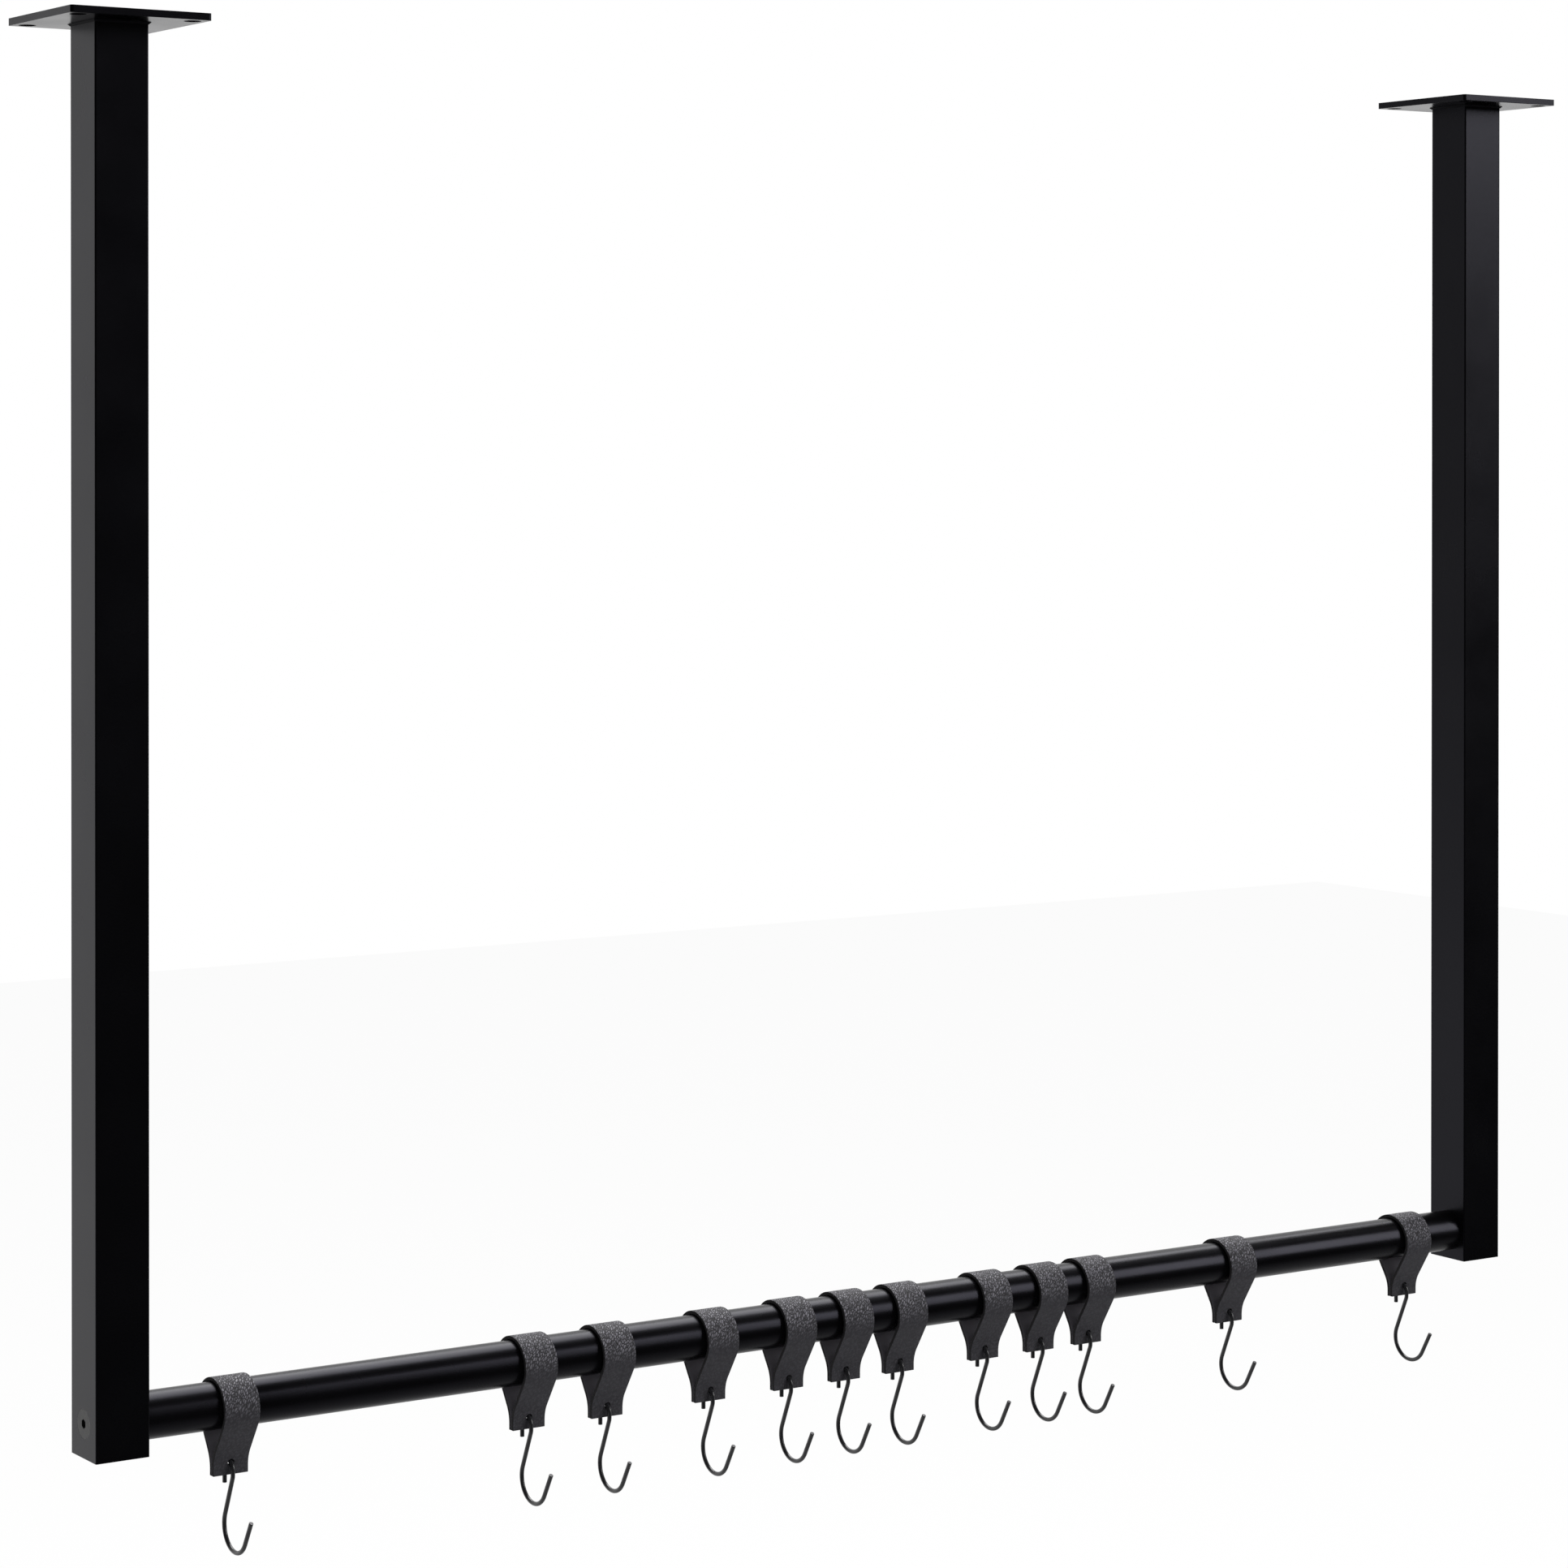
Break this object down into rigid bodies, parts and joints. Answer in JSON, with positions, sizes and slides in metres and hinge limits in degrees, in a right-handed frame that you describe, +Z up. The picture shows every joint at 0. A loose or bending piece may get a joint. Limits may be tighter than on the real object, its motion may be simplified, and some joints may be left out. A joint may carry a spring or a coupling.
{
  "type": "hanging clothes rail",
  "caption": "Round clothes rail hung from the ceiling on square posts with screwed plates; folded leather straps slide on it, each with a wire S-hook that swings.",
  "frame": {"origin": "middle of the left ceiling plate's top face, which lies on the ceiling", "axes": "+X along the rail to the right post, +Y away from the side that the hooks open to, +Z up into the ceiling"},
  "size_m": [1.364, 0.104, 1.0595],
  "materials": {
    "black_steel": "satin black powder coat with a faint orange-peel texture",
    "rail_steel": "satin black powder coat on drawn round tube",
    "bolt_steel": "black oxide on a countersunk socket bolt",
    "plain_steel": "turned bare steel, hidden inside the rail",
    "black_plastic": "moulded matt black polyethylene",
    "leather": "charcoal grained leather with plain cut edges",
    "hook_wire": "semi-gloss black lacquer on round wire"
  },
  "bodies": {
    "frame": {"left_ceiling_plate": "black_steel", "left_post": "black_steel", "left_plate_weld": "black_steel", "left_post_end_cap": "black_plastic", "left_rail_end_insert": "plain_steel", "left_rail_bolt": "bolt_steel", "right_ceiling_plate": "black_steel", "right_post": "black_steel", "right_plate_weld": "black_steel", "right_post_end_cap": "black_plastic", "right_rail_end_insert": "plain_steel", "right_rail_bolt": "bolt_steel", "rail_tube": "rail_steel"},
    "strap_01": {"leather_strap_01": "leather"},
    "hook_01": {"s_hook_01": "hook_wire"},
    "strap_02": {"leather_strap_02": "leather"},
    "hook_02": {"s_hook_02": "hook_wire"},
    "strap_03": {"leather_strap_03": "leather"},
    "hook_03": {"s_hook_03": "hook_wire"},
    "strap_04": {"leather_strap_04": "leather"},
    "hook_04": {"s_hook_04": "hook_wire"},
    "strap_05": {"leather_strap_05": "leather"},
    "hook_05": {"s_hook_05": "hook_wire"},
    "strap_06": {"leather_strap_06": "leather"},
    "hook_06": {"s_hook_06": "hook_wire"},
    "strap_07": {"leather_strap_07": "leather"},
    "hook_07": {"s_hook_07": "hook_wire"},
    "strap_08": {"leather_strap_08": "leather"},
    "hook_08": {"s_hook_08": "hook_wire"},
    "strap_09": {"leather_strap_09": "leather"},
    "hook_09": {"s_hook_09": "hook_wire"},
    "strap_10": {"leather_strap_10": "leather"},
    "hook_10": {"s_hook_10": "hook_wire"},
    "strap_11": {"leather_strap_11": "leather"},
    "hook_11": {"s_hook_11": "hook_wire"},
    "strap_12": {"leather_strap_12": "leather"},
    "hook_12": {"s_hook_12": "hook_wire"}
  },
  "joints": [
    {"name": "strap_01_slide", "type": "slide", "parent": "frame", "child": "strap_01", "axis": [1, 0, 0], "range_m": [-0.056, 0.2135]},
    {"name": "hook_01_swing", "type": "hinge", "parent": "strap_01", "child": "hook_01", "pos_m": [0.09, 0, -0.99653], "axis": [0, 1, 0], "range_deg": [-40, 40]},
    {"name": "strap_02_slide", "type": "slide", "parent": "frame", "child": "strap_02", "axis": [1, 0, 0], "range_m": [-0.2135, 0.0395]},
    {"name": "hook_02_swing", "type": "hinge", "parent": "strap_02", "child": "hook_02", "pos_m": [0.331, 0, -0.99653], "axis": [0, 1, 0], "range_deg": [-40, 40]},
    {"name": "strap_03_slide", "type": "slide", "parent": "frame", "child": "strap_03", "axis": [1, 0, 0], "range_m": [-0.0395, 0.0635]},
    {"name": "hook_03_swing", "type": "hinge", "parent": "strap_03", "child": "hook_03", "pos_m": [0.398, 0, -0.99653], "axis": [0, 1, 0], "range_deg": [-40, 40]},
    {"name": "strap_04_slide", "type": "slide", "parent": "frame", "child": "strap_04", "axis": [1, 0, 0], "range_m": [-0.0635, 0.0435]},
    {"name": "hook_04_swing", "type": "hinge", "parent": "strap_04", "child": "hook_04", "pos_m": [0.489, 0, -0.99653], "axis": [0, 1, 0], "range_deg": [-40, 40]},
    {"name": "strap_05_slide", "type": "slide", "parent": "frame", "child": "strap_05", "axis": [1, 0, 0], "range_m": [-0.0435, 0.0255]},
    {"name": "hook_05_swing", "type": "hinge", "parent": "strap_05", "child": "hook_05", "pos_m": [0.56, 0, -0.99653], "axis": [0, 1, 0], "range_deg": [-40, 40]},
    {"name": "strap_06_slide", "type": "slide", "parent": "frame", "child": "strap_06", "axis": [1, 0, 0], "range_m": [-0.0255, 0.0235]},
    {"name": "hook_06_swing", "type": "hinge", "parent": "strap_06", "child": "hook_06", "pos_m": [0.613, 0, -0.99653], "axis": [0, 1, 0], "range_deg": [-40, 40]},
    {"name": "strap_07_slide", "type": "slide", "parent": "frame", "child": "strap_07", "axis": [1, 0, 0], "range_m": [-0.0235, 0.0545]},
    {"name": "hook_07_swing", "type": "hinge", "parent": "strap_07", "child": "hook_07", "pos_m": [0.664, 0, -0.99653], "axis": [0, 1, 0], "range_deg": [-40, 40]},
    {"name": "strap_08_slide", "type": "slide", "parent": "frame", "child": "strap_08", "axis": [1, 0, 0], "range_m": [-0.0545, 0.0275]},
    {"name": "hook_08_swing", "type": "hinge", "parent": "strap_08", "child": "hook_08", "pos_m": [0.746, 0, -0.99653], "axis": [0, 1, 0], "range_deg": [-40, 40]},
    {"name": "strap_09_slide", "type": "slide", "parent": "frame", "child": "strap_09", "axis": [1, 0, 0], "range_m": [-0.0275, 0.0205]},
    {"name": "hook_09_swing", "type": "hinge", "parent": "strap_09", "child": "hook_09", "pos_m": [0.801, 0, -0.99653], "axis": [0, 1, 0], "range_deg": [-40, 40]},
    {"name": "strap_10_slide", "type": "slide", "parent": "frame", "child": "strap_10", "axis": [1, 0, 0], "range_m": [-0.0205, 0.1195]},
    {"name": "hook_10_swing", "type": "hinge", "parent": "strap_10", "child": "hook_10", "pos_m": [0.849, 0, -0.99653], "axis": [0, 1, 0], "range_deg": [-40, 40]},
    {"name": "strap_11_slide", "type": "slide", "parent": "frame", "child": "strap_11", "axis": [1, 0, 0], "range_m": [-0.1195, 0.1645]},
    {"name": "hook_11_swing", "type": "hinge", "parent": "strap_11", "child": "hook_11", "pos_m": [0.996, 0, -0.99653], "axis": [0, 1, 0], "range_deg": [-40, 40]},
    {"name": "strap_12_slide", "type": "slide", "parent": "frame", "child": "strap_12", "axis": [1, 0, 0], "range_m": [-0.1645, 0.038]},
    {"name": "hook_12_swing", "type": "hinge", "parent": "strap_12", "child": "hook_12", "pos_m": [1.188, 0, -0.99653], "axis": [0, 1, 0], "range_deg": [-40, 40]}
  ]
}
